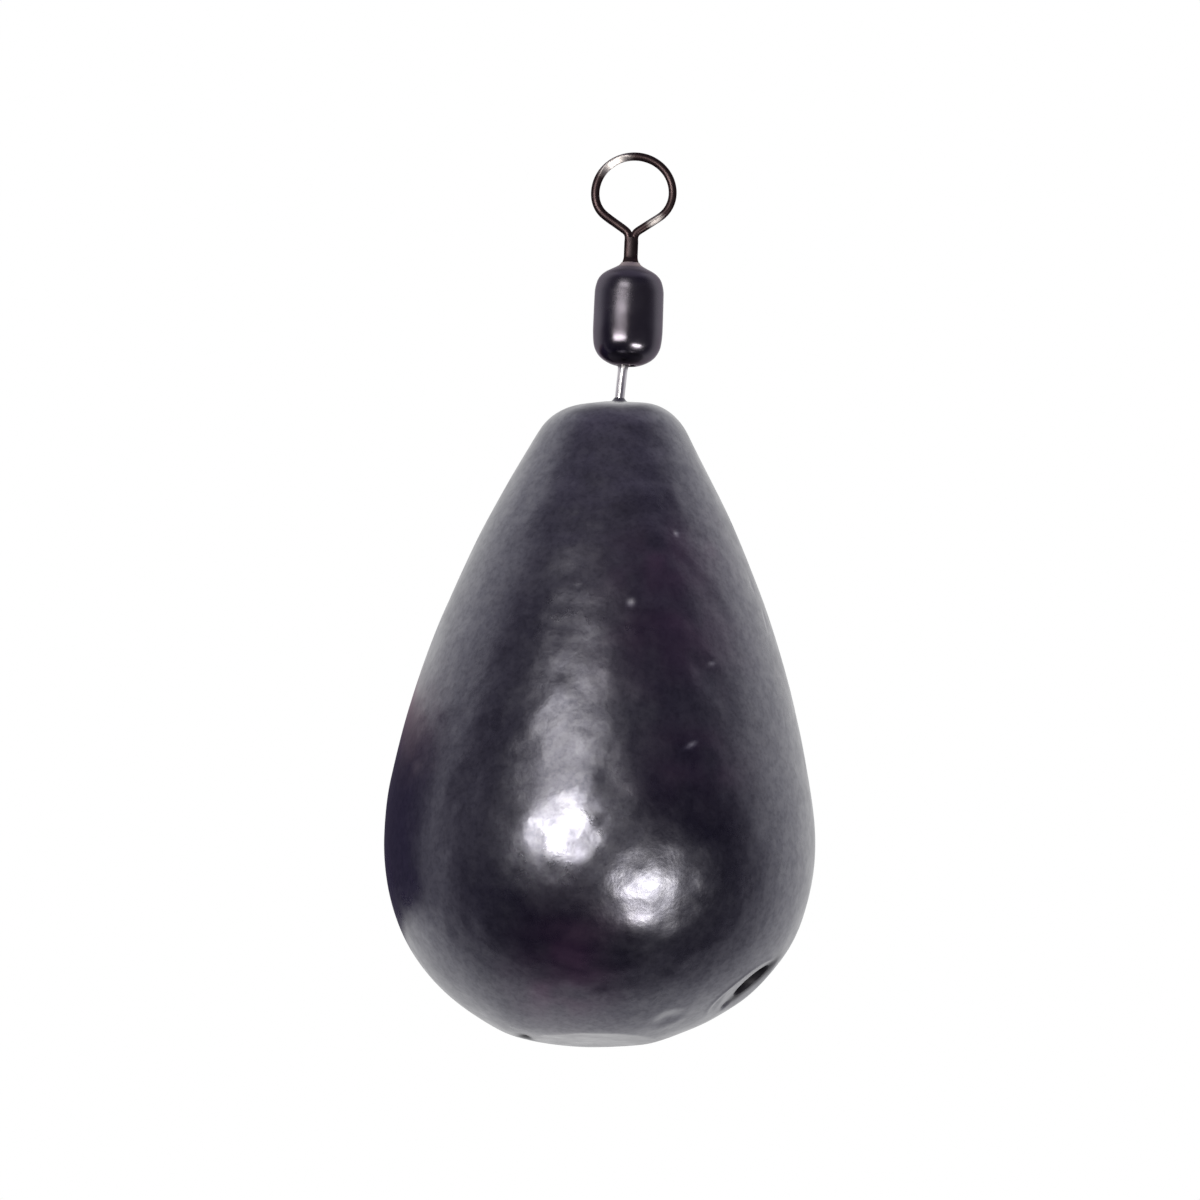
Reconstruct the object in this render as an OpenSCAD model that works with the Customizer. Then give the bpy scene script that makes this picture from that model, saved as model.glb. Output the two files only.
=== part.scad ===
// Pear-shaped casting sinker hung on a barrel swivel.
// The upper eye, the barrel and the lead turn freely on each other about the upright axis.
// Millimetres. The origin is the centre of the upper loop, +Z is up and the loops' plane holds +X.

/* [Lead] */
// Largest diameter of the lead
lead_d = 22.1; // [20:0.1:24]
// Height of the lead from its base to its top
lead_h = 32.8; // [31:0.1:36]
// Height of the widest level above the base
belly_h = 10.1; // [9:0.1:12]
// Diameter of the flat left on the base
base_flat_d = 5.4; // [2:0.1:7]
// Radius of the arc just above the widest level
belly_arc_r = 15.3; // [11.5:0.1:18]
// Radius of the long arc of the flank
flank_arc_r = 55; // [50:1:80]
// Width across the rounded shoulder at the top
shoulder_d = 8.3; // [7.6:0.1:9.2]
// Radius of the rounded shoulder
shoulder_r = 2.8; // [2:0.1:3.2]
// Radius of the low dome on the top
top_dome_r = 8.3; // [6.8:0.1:10]
// Diameter of the flat in the middle of the dome, where the wire comes out
top_flat_d = 2.6; // [2:0.1:3.4]
// How far the lead's own axis lies to the left of the swivel's axis
lead_shift = 0.48; // [0:0.02:0.8]

/* [Marks of the casting] */
// Diameter of the rim of the round, nearly flat recess
recess_d = 4.3; // [3:0.1:4.5]
// Depth of the recess below the lead's surface
recess_depth = 0.3; // [0.3:0.02:0.6]
// Angle of the recess below the widest level
recess_below = 46; // [30:1:50]
// Turn of the recess about the lead's axis, from the right towards the front
recess_turn = 13; // [0:1:60]
// Diameter of the pit in the recess
pit_d = 2.1; // [1:0.1:2.6]
// Depth of the pit below the recess
pit_depth = 0.9; // [0.2:0.05:1.2]
// Distance of the pit above the middle of the recess
pit_rise = 0.7; // [0:0.05:0.8]
// Diameter of the shallow dimple
dimple_d = 1.9; // [1:0.1:2.4]
// Depth of the shallow dimple below the lead's surface
dimple_depth = 0.16; // [0.1:0.01:0.3]
// Angle of the dimple below the widest level
dimple_below = 62; // [52:1:66]
// Turn of the dimple about the lead's axis, from the right towards the front
dimple_turn = 46; // [45:1:90]

/* [Swivel eyes] */
// Diameter of the wire
wire_d = 0.42; // [0.36:0.01:0.46]
// Distance between the centre lines of an eye's two legs
leg_gap = 0.27; // [0.2:0.01:0.3]
// Outer width of each loop
loop_d = 4.38; // [4:0.02:5]
// Radius of the wire's centre line where the loop turns in below its widest level
loop_corner_r = 1.5; // [1.2:0.05:1.7]
// Slope of the straight sides below the loop, measured from upright
loop_side_angle = 55; // [45:1:65]
// Radius of the wire's centre line at the bend into the neck
neck_bend_r = 0.4; // [0.35:0.01:0.6]
// Length of the upper eye's two parallel legs between the barrel and that bend
neck_l = 1.34; // [1:0.02:2]
// Diameter of the head that holds each eye in the barrel
head_d = 1.9; // [1.5:0.05:2.4]
// Height of the head's upright rim
head_rim_h = 0.25; // [0.1:0.05:0.5]
// Height of the dome on the head's inner end
head_dome_h = 0.35; // [0.2:0.05:0.6]

/* [Swivel barrel] */
// Outer diameter of the barrel
barrel_d = 3.55; // [3.3:0.05:4.2]
// Length of the barrel
barrel_l = 5.25; // [5:0.05:6.5]
// Thickness of the barrel's side wall
barrel_wall = 0.38; // [0.25:0.01:0.5]
// Thickness of each end at its hole
barrel_end_t = 0.42; // [0.3:0.01:0.6]
// Slope of the spun upper end and of both inner seats, measured from level
end_slope = 34; // [25:1:40]
// Radius of the shoulder below the spun upper end
spun_shoulder_r = 0.75; // [0.5:0.05:1]
// Radius of the drawn lower end
drawn_end_r = 1.5; // [1.2:0.05:1.6]

/* [Fits] */
// Gap around an eye's centred legs in the barrel's hole, on the radius
hole_play = 0.13; // [0.12:0.01:0.3]
// Gap between a head and its seat, along the axis
seat_gap = 0.06; // [0.04:0.01:0.1]
// Gap between the lower eye and the lead cast round it
cast_gap = 0.03; // [0.02:0.01:0.05]

/* [Lower eye in the lead] */
// Distance from the barrel down to the lead's top
lead_drop = 1.97; // [1.4:0.01:2.4]
// How far the lower eye's legs run on side by side into the lead
neck_sink = 0.3; // [0.25:0.01:1]
// How far the lower eye hangs to the left of the middle of its hole
eye_drift = 0.13; // [0:0.01:0.13]
// Lean of the lower eye, its lower end to the left
eye_lean = 4; // [0:0.5:4]

/* [Hidden] */

// Steps along each arc of an outline, and facets round a drawn circle
belly_steps = 12;
flank_steps = 14;
base_steps = 18;
shoulder_steps = 8;
dome_steps = 4;
end_steps = 8;
round_fn = 96;
wire_fn = 32;

lead_color = [0.25, 0.24, 0.28];
barrel_color = [0.12, 0.12, 0.14];
wire_color = [0.42, 0.38, 0.38];

// Lead outline, with height zero at the widest level
lead_r = lead_d / 2;
base_flat_r = base_flat_d / 2;
top_h = lead_h - belly_h;
base_inset = lead_r - base_flat_r;
base_arc_r = (base_inset * base_inset + belly_h * belly_h) / (2 * base_inset);
base_arc_x = lead_r - base_arc_r;
base_arc_angle = asin(belly_h / base_arc_r);
belly_center = [lead_r - belly_arc_r, 0];
top_flat_r = top_flat_d / 2;
dome_z = top_h - sqrt(top_dome_r * top_dome_r - top_flat_r * top_flat_r);
dome_end = acos(top_flat_r / top_dome_r);
shoulder_x = shoulder_d / 2 - shoulder_r;
shoulder_rise = sqrt(pow(top_dome_r - shoulder_r, 2) - shoulder_x * shoulder_x);
shoulder_center = [shoulder_x, dome_z + shoulder_rise];
// The flank arc touches the belly arc and the shoulder arc from outside
belly_reach = flank_arc_r - belly_arc_r;
shoulder_reach = flank_arc_r - shoulder_r;
center_line = shoulder_center - belly_center;
center_dist = norm(center_line);
center_dir = center_line / center_dist;
along = (pow(belly_reach, 2) - pow(shoulder_reach, 2) + pow(center_dist, 2)) / (2 * center_dist);
across = sqrt(pow(belly_reach, 2) - along * along);
flank_center = belly_center + center_dir * along + [-center_dir.y, center_dir.x] * across;
flank_start = direction(belly_center - flank_center);
flank_end = direction(shoulder_center - flank_center);
shoulder_end = direction(shoulder_center - [0, dome_z]);

// Loop outline, with height zero at the loop's centre
loop_r = (loop_d - wire_d) / 2;
leg_x = leg_gap / 2;
corner_x = loop_r - loop_corner_r;
side_top_x = corner_x + loop_corner_r * cos(loop_side_angle);
side_top_z = -loop_corner_r * sin(loop_side_angle);
bend_x = leg_x + neck_bend_r;
side_foot_x = bend_x - neck_bend_r * cos(loop_side_angle);
side_l = (side_top_x - side_foot_x) / sin(loop_side_angle);
bend_z = side_top_z - side_l * cos(loop_side_angle) - neck_bend_r * sin(loop_side_angle);
// Distance from the upper loop's centre to the barrel's end
eye_reach = neck_l - bend_z;
lower_neck_l = lead_drop + neck_sink;

// Barrel and heads
barrel_r = barrel_d / 2;
leg_reach = leg_x + wire_d / 2;
hole_r = leg_reach + hole_play;
chamber_r = barrel_r - barrel_wall;
head_r = head_d / 2;
seat_h = barrel_end_t + (chamber_r - hole_r) * tan(end_slope);
spun_x = barrel_r - spun_shoulder_r;
spun_edge_x = spun_x + spun_shoulder_r * sin(end_slope);
spun_center_z = -(spun_edge_x - hole_r) * tan(end_slope) - spun_shoulder_r * cos(end_slope);
drawn_x = barrel_r - drawn_end_r;
// The drawn end's arc stops at the hole, or runs level and leaves a flat round it
drawn_stop = hole_r > drawn_x ? acos((hole_r - drawn_x) / drawn_end_r) : 90;
drawn_flat = hole_r > drawn_x ? [] : [[hole_r, -barrel_l]];
head_top = barrel_end_t + seat_gap;
head_edge = head_top + (head_r - hole_r) * tan(end_slope);
head_l = head_edge + head_rim_h + head_dome_h;
head_dome_r = (head_r * head_r + head_dome_h * head_dome_h) / (2 * head_dome_h);
head_dome_angle = asin(head_r / head_dome_r);

// Levels of the pieces
barrel_top_z = -eye_reach;
barrel_base_z = barrel_top_z - barrel_l;
lead_top_z = barrel_base_z - lead_drop;
belly_z = lead_top_z - top_h;

function direction(v) = atan2(v.y, v.x);

// Points along an arc, with or without the one it starts from
function arc_points(center, r, from, to, steps, first = 0) =
    [for (i = [first:steps]) center + r * [cos(from + (to - from) * i / steps),
                                           sin(from + (to - from) * i / steps)]];

// Pear, revolved, with its widest level at height zero
module pear() {
    rotate_extrude($fn = round_fn)
        polygon(concat(
            [[0, -belly_h], [base_flat_r, -belly_h]],
            arc_points([base_arc_x, 0], base_arc_r, -base_arc_angle, 0, base_steps, 1),
            arc_points(belly_center, belly_arc_r, 0, flank_start, belly_steps, 1),
            arc_points(flank_center, flank_arc_r, flank_start, flank_end, flank_steps, 1),
            arc_points(shoulder_center, shoulder_r, flank_end, shoulder_end, shoulder_steps, 1),
            arc_points([0, dome_z], top_dome_r, shoulder_end, dome_end, dome_steps, 1),
            [[0, top_h]]));
}

// Stands its children on the lead's lower surface, their +X pointing out of it
module on_lead(turn, below) {
    rotate([0, 0, -turn])
        translate([base_arc_x, 0, 0])
            rotate([0, below, 0])
                translate([base_arc_r, 0, 0])
                    children();
}

// Ball that leaves a dish of this rim and depth in the lead's lower surface
module dish(rim_d, depth) {
    rim_r = rim_d / 2;
    bulge = base_arc_r - sqrt(base_arc_r * base_arc_r - rim_r * rim_r);
    hollow = depth - bulge;
    ball_r = (rim_r * rim_r + hollow * hollow) / (2 * hollow);
    translate([ball_r - depth, 0, 0])
        sphere(r = ball_r, $fn = round_fn);
}

module recess() {
    on_lead(recess_turn, recess_below) {
        dish(recess_d, recess_depth);
        translate([-recess_depth - pit_depth, 0, pit_rise])
            rotate([0, 90, 0])
                cylinder(d = pit_d, h = pit_depth + recess_depth, $fn = round_fn);
    }
}

module dimple() {
    on_lead(dimple_turn, dimple_below)
        dish(dimple_d, dimple_depth);
}

// One bent length of wire in the loop's plane
module wire_arc(x, z, r, from, to, d) {
    translate([x, z, 0])
        rotate([0, 0, from])
            rotate_extrude(angle = to - from, $fn = round_fn)
                translate([r, 0])
                    circle(d = d, $fn = wire_fn);
}

// Half of an eye's wire, from the top of the loop to the end of one leg
module half_wire(neck, d) {
    rotate([90, 0, 0])
        translate([0, neck - bend_z, 0]) {
            wire_arc(0, 0, loop_r, 0, 90, d);
            wire_arc(corner_x, 0, loop_corner_r, -loop_side_angle, 0, d);
            translate([side_foot_x, bend_z + neck_bend_r * sin(loop_side_angle), 0])
                rotate([0, 0, -loop_side_angle])
                    rotate([-90, 0, 0])
                        cylinder(d = d, h = side_l, $fn = wire_fn);
            wire_arc(bend_x, bend_z, neck_bend_r, 180 - loop_side_angle, 180, d);
        }
    translate([leg_x, 0, -head_edge])
        cylinder(d = d, h = head_edge + neck, $fn = wire_fn);
}

// Wire of one eye, with height zero at the barrel's end and +Z away from the barrel
module eye_wire(neck, d = wire_d) {
    half_wire(neck, d);
    mirror([1, 0, 0])
        half_wire(neck, d);
}

// Head on the inner end of an eye, in the same place
module eye_head() {
    rotate_extrude($fn = round_fn)
        polygon(concat(
            [[0, -head_top]],
            arc_points([0, head_dome_r - head_l], head_dome_r, -90, head_dome_angle - 90, end_steps),
            [[head_r, -head_edge], [hole_r, -head_top]]));
}

// Stands its children at the barrel's lower end as the lower eye hangs there
module at_lower_eye() {
    translate([-eye_drift, 0, barrel_base_z + head_top])
        rotate([0, eye_lean, 0])
            translate([0, 0, -head_top])
                rotate([180, 0, 90])
                    children();
}

module upper_eye() {
    color(wire_color)
        translate([0, 0, barrel_top_z]) {
            eye_wire(neck_l);
            eye_head();
        }
}

module lower_eye() {
    color(wire_color) {
        at_lower_eye()
            eye_wire(lower_neck_l);
        translate([0, 0, barrel_base_z])
            rotate([180, 0, 0])
                eye_head();
    }
}

// Barrel with height zero at its upper end
module swivel_barrel() {
    color(barrel_color)
        translate([0, 0, barrel_top_z])
            rotate_extrude($fn = round_fn)
                polygon(concat(
                    [[hole_r, 0]],
                    arc_points([spun_x, spun_center_z], spun_shoulder_r, 90 - end_slope, 0, end_steps),
                    arc_points([drawn_x, drawn_end_r - barrel_l], drawn_end_r, 0, -drawn_stop, end_steps),
                    drawn_flat,
                    [[hole_r, barrel_end_t - barrel_l], [chamber_r, seat_h - barrel_l],
                     [chamber_r, -seat_h], [hole_r, -barrel_end_t]]));
}

module lead_body() {
    color(lead_color)
        difference() {
            translate([-lead_shift, 0, belly_z])
                difference() {
                    pear();
                    recess();
                    dimple();
                }
            at_lower_eye()
                eye_wire(lower_neck_l, wire_d + 2 * cast_gap);
        }
}

lead_body();
lower_eye();
swivel_barrel();
upper_eye();
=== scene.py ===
import math

import bpy
import numpy as np
from mathutils import Matrix, Vector


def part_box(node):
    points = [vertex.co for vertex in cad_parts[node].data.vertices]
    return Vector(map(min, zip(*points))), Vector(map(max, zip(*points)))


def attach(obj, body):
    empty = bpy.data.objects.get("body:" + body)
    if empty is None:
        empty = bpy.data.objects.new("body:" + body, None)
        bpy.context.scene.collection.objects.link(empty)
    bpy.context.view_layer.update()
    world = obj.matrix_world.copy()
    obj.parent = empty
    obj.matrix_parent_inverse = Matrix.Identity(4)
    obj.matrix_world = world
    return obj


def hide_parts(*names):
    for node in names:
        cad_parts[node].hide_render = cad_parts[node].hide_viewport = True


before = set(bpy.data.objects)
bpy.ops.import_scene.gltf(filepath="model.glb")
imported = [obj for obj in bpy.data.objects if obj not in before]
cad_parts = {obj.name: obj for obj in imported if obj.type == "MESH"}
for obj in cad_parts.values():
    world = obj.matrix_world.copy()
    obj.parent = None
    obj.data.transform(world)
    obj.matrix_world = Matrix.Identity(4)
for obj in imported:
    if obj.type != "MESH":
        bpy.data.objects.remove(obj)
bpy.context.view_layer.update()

# Lengths are worked out in millimetres and written to the meshes in metres
MM = 0.001

# Numbers shared with the solids
LEAD_D = 22.1
LEAD_H = 32.8
BELLY_H = 10.1
BASE_FLAT_R = 2.7
BELLY_ARC_R = 15.3
FLANK_ARC_R = 55.0
SHOULDER_R = 2.8
SHOULDER_X = 8.3 / 2 - SHOULDER_R
TOP_DOME_R = 8.3
LEAD_SHIFT = 0.48
RECESS_R = 4.3 / 2
RECESS_DEPTH = 0.3
RECESS_BELOW = 46.0
RECESS_TURN = 13.0
PIT_R = 2.1 / 2
PIT_DEPTH = 0.9
PIT_RISE = 0.7
DIMPLE_R = 1.9 / 2
DIMPLE_DEPTH = 0.16
DIMPLE_BELOW = 62.0
DIMPLE_TURN = 46.0
WIRE_R = 0.42 / 2
LEG_X = 0.27 / 2
LOOP_R = (4.38 - 0.42) / 2
CORNER_R = 1.5
SIDE_ANGLE = 55.0
BEND_R = 0.4
NECK_L = 1.34
HEAD_R = 1.9 / 2
HEAD_RIM_H = 0.25
HEAD_DOME_H = 0.35
BARREL_R = 3.55 / 2
BARREL_L = 5.25
BARREL_WALL = 0.38
BARREL_END_T = 0.42
END_SLOPE = 34.0
HOLE_PLAY = 0.13
SEAT_GAP = 0.06
LEAD_DROP = 1.97
NECK_SINK = 0.3
EYE_DRIFT = 0.13
EYE_LEAN = 4.0

TOP_H = LEAD_H - BELLY_H
BASE_INSET = LEAD_D / 2 - BASE_FLAT_R
BASE_ARC_R = (BASE_INSET ** 2 + BELLY_H ** 2) / (2 * BASE_INSET)
BASE_ARC_X = LEAD_D / 2 - BASE_ARC_R
LEG_REACH = LEG_X + WIRE_R
HOLE_R = LEG_REACH + HOLE_PLAY
CHAMBER_R = BARREL_R - BARREL_WALL
HEAD_TOP = BARREL_END_T + SEAT_GAP
HEAD_EDGE = HEAD_TOP + (HEAD_R - HOLE_R) * math.tan(math.radians(END_SLOPE))

barrel_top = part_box("swivel_barrel")[1].z / MM
barrel_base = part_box("swivel_barrel")[0].z / MM
belly_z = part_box("lead_body")[1].z / MM - TOP_H


# Curves and noise
def rad(a):
    return math.radians(a)


def smooth(t, lo, hi):
    """0 below lo, 1 above hi and a soft step between them."""
    t = np.clip((t - lo) / (hi - lo), 0, 1)
    return t * t * (3 - 2 * t)


def bell(t):
    return np.exp(-(t ** 2))


def soft_max(a, b, k):
    """The larger of a and b, with the corner between them rounded over about k."""
    return 0.5 * (a + b + np.sqrt((a - b) ** 2 + k * k))


def soft_min(a, b, k):
    return 0.5 * (a + b - np.sqrt((a - b) ** 2 + k * k))


LATTICE_N = 32
LATTICE = np.random.default_rng(7).uniform(-1, 1, (LATTICE_N, LATTICE_N, LATTICE_N))
SEED_STEP = np.array([3.1, 7.7, 5.3])
# A blend of eight corners stays nearer to zero than they do, so it is spread out again
NOISE_SPREAD = 1.6


def noise(p, size, seed):
    """Smooth noise from about -1 to 1 at the points p, with features of that size."""
    q = p / size + SEED_STEP * (seed + 1)
    i = np.floor(q).astype(int)
    f = q - i
    f = f * f * f * (f * (6 * f - 15) + 10)
    out = np.zeros(len(p))
    for dx in (0, 1):
        for dy in (0, 1):
            for dz in (0, 1):
                w = (np.where(dx, f[:, 0], 1 - f[:, 0]) * np.where(dy, f[:, 1], 1 - f[:, 1])
                     * np.where(dz, f[:, 2], 1 - f[:, 2]))
                x, y, z = ((i + [dx, dy, dz]) % LATTICE_N).T
                out += w * LATTICE[x, y, z]
    return out * NOISE_SPREAD


def arc(center, r, a0, a1, n):
    a = np.linspace(a0, a1, n)
    return np.stack([center[0] + r * np.cos(a), center[1] + r * np.sin(a)], 1)


def distances(path):
    """How far each point of a path is from its start, along the path."""
    return np.concatenate([[0], np.cumsum(np.linalg.norm(np.diff(path, axis=0), axis=1))])


def resample(path, step):
    """Points on the same path, about this step apart."""
    d = distances(path)
    s = np.linspace(0, d[-1], max(2, int(round(d[-1] / step)) + 1))
    return np.stack([np.interp(s, d, path[:, k]) for k in range(path.shape[1])], 1)


def soften(path, width, step):
    """The path with its corners rounded over about this width."""
    path = resample(path, step)
    half = int(round(3 * width / step))
    k = np.exp(-0.5 * (np.arange(-half, half + 1) * step / width) ** 2)
    k /= k.sum()
    head = 2 * path[0] - path[half:0:-1]
    tail = 2 * path[-1] - path[-2:-half - 2:-1]
    full = np.concatenate([head, path, tail])
    return np.stack([np.convolve(full[:, c], k, "valid") for c in range(path.shape[1])], 1)


# Pieces and their faces
def build(name, verts, faces, body, material, nodes):
    """A smooth shaded piece from points in millimetres, riding on a body in place of those nodes."""
    me = bpy.data.meshes.new(name)
    me.from_pydata((np.asarray(verts) * MM).tolist(), [], faces)
    me.update()
    me.polygons.foreach_set("use_smooth", [True] * len(me.polygons))
    me.materials.append(material)
    ob = bpy.data.objects.new(name, me)
    bpy.context.scene.collection.objects.link(ob)
    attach(ob, body)
    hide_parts(*nodes)
    return ob


def paint(ob, name, values):
    """A named value at each point, read by the materials."""
    at = ob.data.attributes.new(name, "FLOAT", "POINT")
    at.data.foreach_set("value", np.asarray(values, np.float32))


def grid_faces(rows, cols, closed, start=0):
    """Quads of a grid of points, row after row, its last column joined to the first if closed."""
    r, c = np.meshgrid(np.arange(rows - 1), np.arange(cols if closed else cols - 1), indexing="ij")
    n = (c + 1) % cols
    quads = np.stack([r * cols + c, r * cols + n, (r + 1) * cols + n, (r + 1) * cols + c], -1)
    return (quads.reshape(-1, 4) + start).tolist()


def rod_faces(rows, cols, start=0):
    """Quads of a closed grid, and a face on each of its ends."""
    faces = grid_faces(rows, cols, True, start)
    faces.append([start + k for k in range(cols)][::-1])
    faces.append([start + (rows - 1) * cols + k for k in range(cols)])
    return faces


def lathe(profile, cols, start=0):
    """Points and quads of a turned shape. The profile's points are radius and height."""
    a = np.linspace(0, 2 * math.pi, cols, endpoint=False)
    p = np.stack([profile[:, :1] * np.cos(a), profile[:, :1] * np.sin(a),
                  np.repeat(profile[:, 1:], cols, 1)], -1).reshape(-1, 3)
    return p, grid_faces(len(profile), cols, True, start)


def tube(path, radii, sides):
    """Points of rings round a path that starts upright, each with its own radius."""
    t = np.gradient(path, axis=0)
    t /= np.linalg.norm(t, axis=1)[:, None]
    side = np.cross(t[0], [0.0, 1.0, 0.0])
    a = np.linspace(0, 2 * math.pi, sides, endpoint=False)
    rings = []
    for point, way, r in zip(path, t, radii):
        side = side - way * side.dot(way)
        side /= np.linalg.norm(side)
        other = np.cross(way, side)
        rings.append(point + r * (np.outer(np.cos(a), side) + np.outer(np.sin(a), other)))
    return np.concatenate(rings)


# Shader nodes
def new_material(name, shader="ShaderNodeBsdfPrincipled"):
    m = bpy.data.materials.new(name)
    m.use_nodes = True
    nt = m.node_tree
    nt.nodes.clear()
    out = nt.nodes.new("ShaderNodeOutputMaterial")
    surface = nt.nodes.new(shader)
    nt.links.new(surface.outputs[0], out.inputs[0])
    return m, nt, surface


def node(nt, kind, values=(), **props):
    """A node with these properties, its inputs linked or set."""
    n = nt.nodes.new(kind)
    for k, v in props.items():
        setattr(n, k, v)
    for k, v in dict(values).items():
        if hasattr(v, "is_linked"):
            nt.links.new(v, n.inputs[k])
        else:
            n.inputs[k].default_value = v
    return n


def painted(nt, name):
    """The value that paint() wrote under that name, or zero on a piece without it."""
    return node(nt, "ShaderNodeAttribute", attribute_name=name).outputs["Fac"]


def object_noise(nt, per_mm, detail, rough, distortion=0.0):
    co = node(nt, "ShaderNodeTexCoord").outputs["Object"]
    n = node(nt, "ShaderNodeTexNoise", {"Vector": co, "Scale": per_mm / MM, "Detail": detail,
                                        "Roughness": rough, "Distortion": distortion})
    return n.outputs[0]


def ramp(nt, fac, stops):
    r = node(nt, "ShaderNodeValToRGB", {"Fac": fac})
    e = r.color_ramp.elements
    while len(e) < len(stops):
        e.new(0.5)
    for el, (pos, col) in zip(e, stops):
        el.position = pos
        el.color = (*col, 1)
    return r.outputs[0]


def mix(nt, fac, a, b, blend="MIX"):
    """Colour a with as much of b as fac says. This node's inputs go by number, as it repeats names."""
    b = b if hasattr(b, "is_linked") else (*b, 1)
    n = node(nt, "ShaderNodeMix", data_type="RGBA", blend_type=blend)
    for k, v in ((0, fac), (6, a), (7, b)):
        if hasattr(v, "is_linked"):
            nt.links.new(v, n.inputs[k])
        else:
            n.inputs[k].default_value = v
    return n.outputs[2]


def combine(nt, red, green, blue):
    return node(nt, "ShaderNodeCombineColor", {0: red, 1: green, 2: blue}).outputs[0]


def math_node(nt, op, a, b=0.0):
    return node(nt, "ShaderNodeMath", {0: a, 1: b}, operation=op).outputs[0]


def map_range(nt, value, lo, hi, to_lo, to_hi, smoothly=True):
    n = node(nt, "ShaderNodeMapRange", {0: value, 1: lo, 2: hi, 3: to_lo, 4: to_hi})
    n.interpolation_type = "SMOOTHSTEP" if smoothly else "LINEAR"
    n.clamp = True
    return n.outputs[0]


def bump(nt, height, strength, distance, under=None):
    """The surface's way out tilted by that height, on top of the bump under it."""
    values = {"Height": height, "Strength": strength, "Distance": distance}
    if under is not None:
        values["Normal"] = under
    return node(nt, "ShaderNodeBump", values).outputs[0]


# Materials
def lead_material():
    m, nt, bsdf = new_material("lead_skin")
    cloud = object_noise(nt, 0.16, 3.0, 0.5, 0.4)
    blotch = object_noise(nt, 0.8, 3.0, 0.6, 0.3)
    mottle = object_noise(nt, 1.9, 2.0, 0.6, 0.2)
    grain = object_noise(nt, 4.2, 2.0, 0.6)
    blush = painted(nt, "blush")
    scuff = painted(nt, "scuff")
    painted_shade = painted(nt, "painted_shade")
    relief = painted(nt, "relief")
    color = ramp(nt, cloud, [(0.3, (0.135, 0.132, 0.160)), (0.5, (0.157, 0.155, 0.184)),
                             (0.72, (0.177, 0.175, 0.202))])
    color = mix(nt, map_range(nt, blotch, 0.35, 0.7, 0.0, 0.30), color, (0.200, 0.198, 0.222))
    color = mix(nt, map_range(nt, grain, 0.38, 0.68, 0.0, 0.36), color, (0.07, 0.068, 0.085))
    color = mix(nt, map_range(nt, mottle, 0.4, 0.68, 0.0, 0.42), color, (0.235, 0.232, 0.255))
    color = mix(nt, blush, color, (0.265, 0.165, 0.245))
    color = mix(nt, scuff, color, (0.72, 0.71, 0.73))
    # Near black painted shade and dark reflection: in and round the pit, in a small dent, in the nick at
    # the base and round the wire's exit
    color = mix(nt, painted_shade, color, (0.010, 0.009, 0.011))
    nt.links.new(color, bsdf.inputs["Base Color"])
    bsdf.inputs["Metallic"].default_value = 1.0
    rough = map_range(nt, blotch, 0.3, 0.75, 0.33, 0.27)
    rough = math_node(nt, "ADD", rough, map_range(nt, cloud, 0.3, 0.7, -0.02, 0.03))
    rough = math_node(nt, "ADD", rough, math_node(nt, "MULTIPLY", scuff, 0.14))
    rough = math_node(nt, "ADD", rough, math_node(nt, "MULTIPLY", painted_shade, 0.5))
    nt.links.new(rough, bsdf.inputs["Roughness"])
    fine = bump(nt, math_node(nt, "MULTIPLY", grain, relief), 0.4, 0.009 * MM)
    middle = bump(nt, math_node(nt, "MULTIPLY", mottle, relief), 0.5, 0.012 * MM, fine)
    coarse = bump(nt, math_node(nt, "MULTIPLY", blotch, relief), 0.5, 0.034 * MM, middle)
    nt.links.new(coarse, bsdf.inputs["Normal"])
    return m


def barrel_material():
    m, nt, bsdf = new_material("barrel_plating")
    cloud = object_noise(nt, 0.5, 3.0, 0.5)
    grain = object_noise(nt, 3.0, 2.0, 0.6)
    painted_light = painted(nt, "painted_light")
    color = ramp(nt, cloud, [(0.3, (0.116, 0.103, 0.122)), (0.7, (0.144, 0.136, 0.158))])
    # Painted shade on the ends round the holes, where the wires go in
    color = mix(nt, painted(nt, "painted_dark"), color, (0.040, 0.030, 0.033))
    # Painted light: the shaded collar of the upper hole is made lighter brown, and rougher below
    color = mix(nt, painted_light, color, (0.48, 0.41, 0.40))
    nt.links.new(color, bsdf.inputs["Base Color"])
    bsdf.inputs["Metallic"].default_value = 1.0
    bsdf.inputs["Specular Tint"].default_value = (0.55, 0.52, 0.56, 1)
    rough = map_range(nt, cloud, 0.3, 0.7, 0.24, 0.29)
    rough = math_node(nt, "ADD", rough, map_range(nt, grain, 0.3, 0.7, 0.0, 0.02))
    rough = math_node(nt, "SUBTRACT", rough, math_node(nt, "MULTIPLY", painted(nt, "polish"), 0.05))
    rough = math_node(nt, "ADD", rough, math_node(nt, "MULTIPLY", painted_light, 0.25))
    nt.links.new(rough, bsdf.inputs["Roughness"])
    nt.links.new(bump(nt, grain, 0.3, 0.002 * MM), bsdf.inputs["Normal"])
    return m


def wire_material(name, dark, light, edge, rough):
    m, nt, bsdf = new_material(name)
    cloud = object_noise(nt, 0.9, 3.0, 0.5)
    wear = object_noise(nt, 2.2, 2.0, 0.5)
    color = ramp(nt, cloud, [(0.3, dark), (0.7, light)])
    # Lighter bare metal on the worn flats, spread as a painted highlight over the side of the wire
    # facing the lamps
    color = mix(nt, painted(nt, "wear_and_highlight"), color, (0.72, 0.67, 0.65))
    # Painted darkening: shade next to the barrel on the lower eye, and a darker neck on the upper eye
    color = mix(nt, painted(nt, "painted_dark"), color, (0.035, 0.027, 0.029))
    nt.links.new(color, bsdf.inputs["Base Color"])
    bsdf.inputs["Metallic"].default_value = 1.0
    bsdf.inputs["Specular Tint"].default_value = (*edge, 1)
    nt.links.new(map_range(nt, wear, 0.3, 0.7, rough - 0.04, rough + 0.04), bsdf.inputs["Roughness"])
    nt.links.new(bump(nt, wear, 0.15, 0.003 * MM), bsdf.inputs["Normal"])
    return m


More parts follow.
